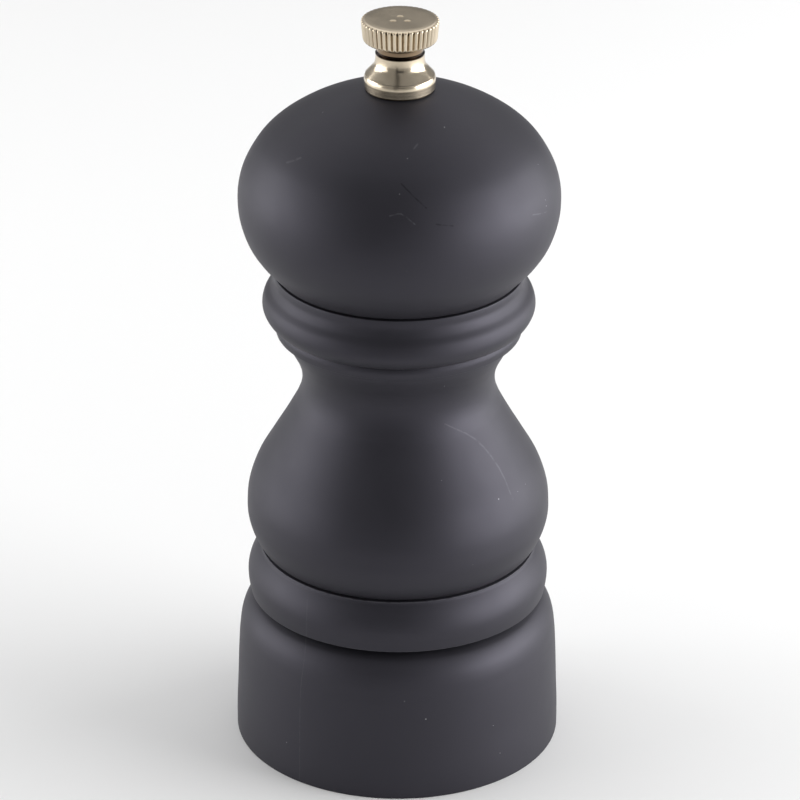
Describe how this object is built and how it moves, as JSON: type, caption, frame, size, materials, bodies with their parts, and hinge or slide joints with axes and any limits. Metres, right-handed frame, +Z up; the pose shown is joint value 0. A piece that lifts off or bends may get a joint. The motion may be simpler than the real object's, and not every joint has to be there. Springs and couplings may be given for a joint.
{
  "type": "pepper mill",
  "caption": "Small turned pepper mill with a dome head on a square spindle, conical burrs, a waisted black body and a fluted adjusting nut.",
  "frame": {"origin": "centre of the foot ring, on the surface that the mill stands on", "axes": "+Z up along the spindle; the bottom bar and its two screws lie along X"},
  "size_m": [0.0554, 0.0554, 0.13],
  "materials": {
    "black_lacquer": "matt soft-touch lacquer on turned beech",
    "nickel_plate": "warm satin nickel plate",
    "plain_steel": "zinc plated",
    "spring_steel": "drawn wire",
    "burr_steel": "case hardened and oiled",
    "white_nylon": "moulded",
    "black_nylon": "moulded"
  },
  "bodies": {
    "mill_body": {"body_shell": "black_lacquer", "glide_ring": "black_nylon", "stator_burr": "burr_steel", "guide_bracket": "plain_steel", "bottom_bar": "plain_steel", "bar_bush": "white_nylon", "bar_screw_1": "plain_steel", "bar_screw_2": "plain_steel"},
    "spring_seat": {"spring_washer": "plain_steel", "grinder_spring": "spring_steel"},
    "spindle_unit": {"spindle": "plain_steel", "rotor_burr": "burr_steel", "rotor_washer": "plain_steel", "retaining_clip": "plain_steel"},
    "head": {"head_shell": "black_lacquer", "drive_plate": "plain_steel", "plate_screw_1": "plain_steel", "plate_screw_2": "plain_steel"},
    "nut_seat": {"nut_washer": "plain_steel"},
    "nut": {"adjusting_nut": "nickel_plate"}
  },
  "joints": [
    {"name": "grind_turn", "type": "hinge", "parent": "mill_body", "child": "spring_seat", "pos_m": [0, 0, 0.0426], "axis": [0, 0, 1], "continuous": true},
    {"name": "spindle_lift", "type": "slide", "parent": "spring_seat", "child": "spindle_unit", "axis": [0, 0, 1], "range_m": [-0.0008, 0.0008], "deforming": ["grinder_spring"]},
    {"name": "head_lift", "type": "slide", "parent": "spring_seat", "child": "head", "axis": [0, 0, 1], "range_m": [0, 0.06]},
    {"name": "nut_lift", "type": "slide", "parent": "head", "child": "nut_seat", "axis": [0, 0, 1], "range_m": [0, 0.015]},
    {"name": "nut_turn", "type": "hinge", "parent": "nut_seat", "child": "nut", "pos_m": [0, 0, 0.1181], "axis": [0, 0, 1], "range_deg": [-360, 360]}
  ],
  "couplings": [
    {"joint": "nut_turn", "follows": "spindle_lift", "rad_per_m": -7854}
  ]
}
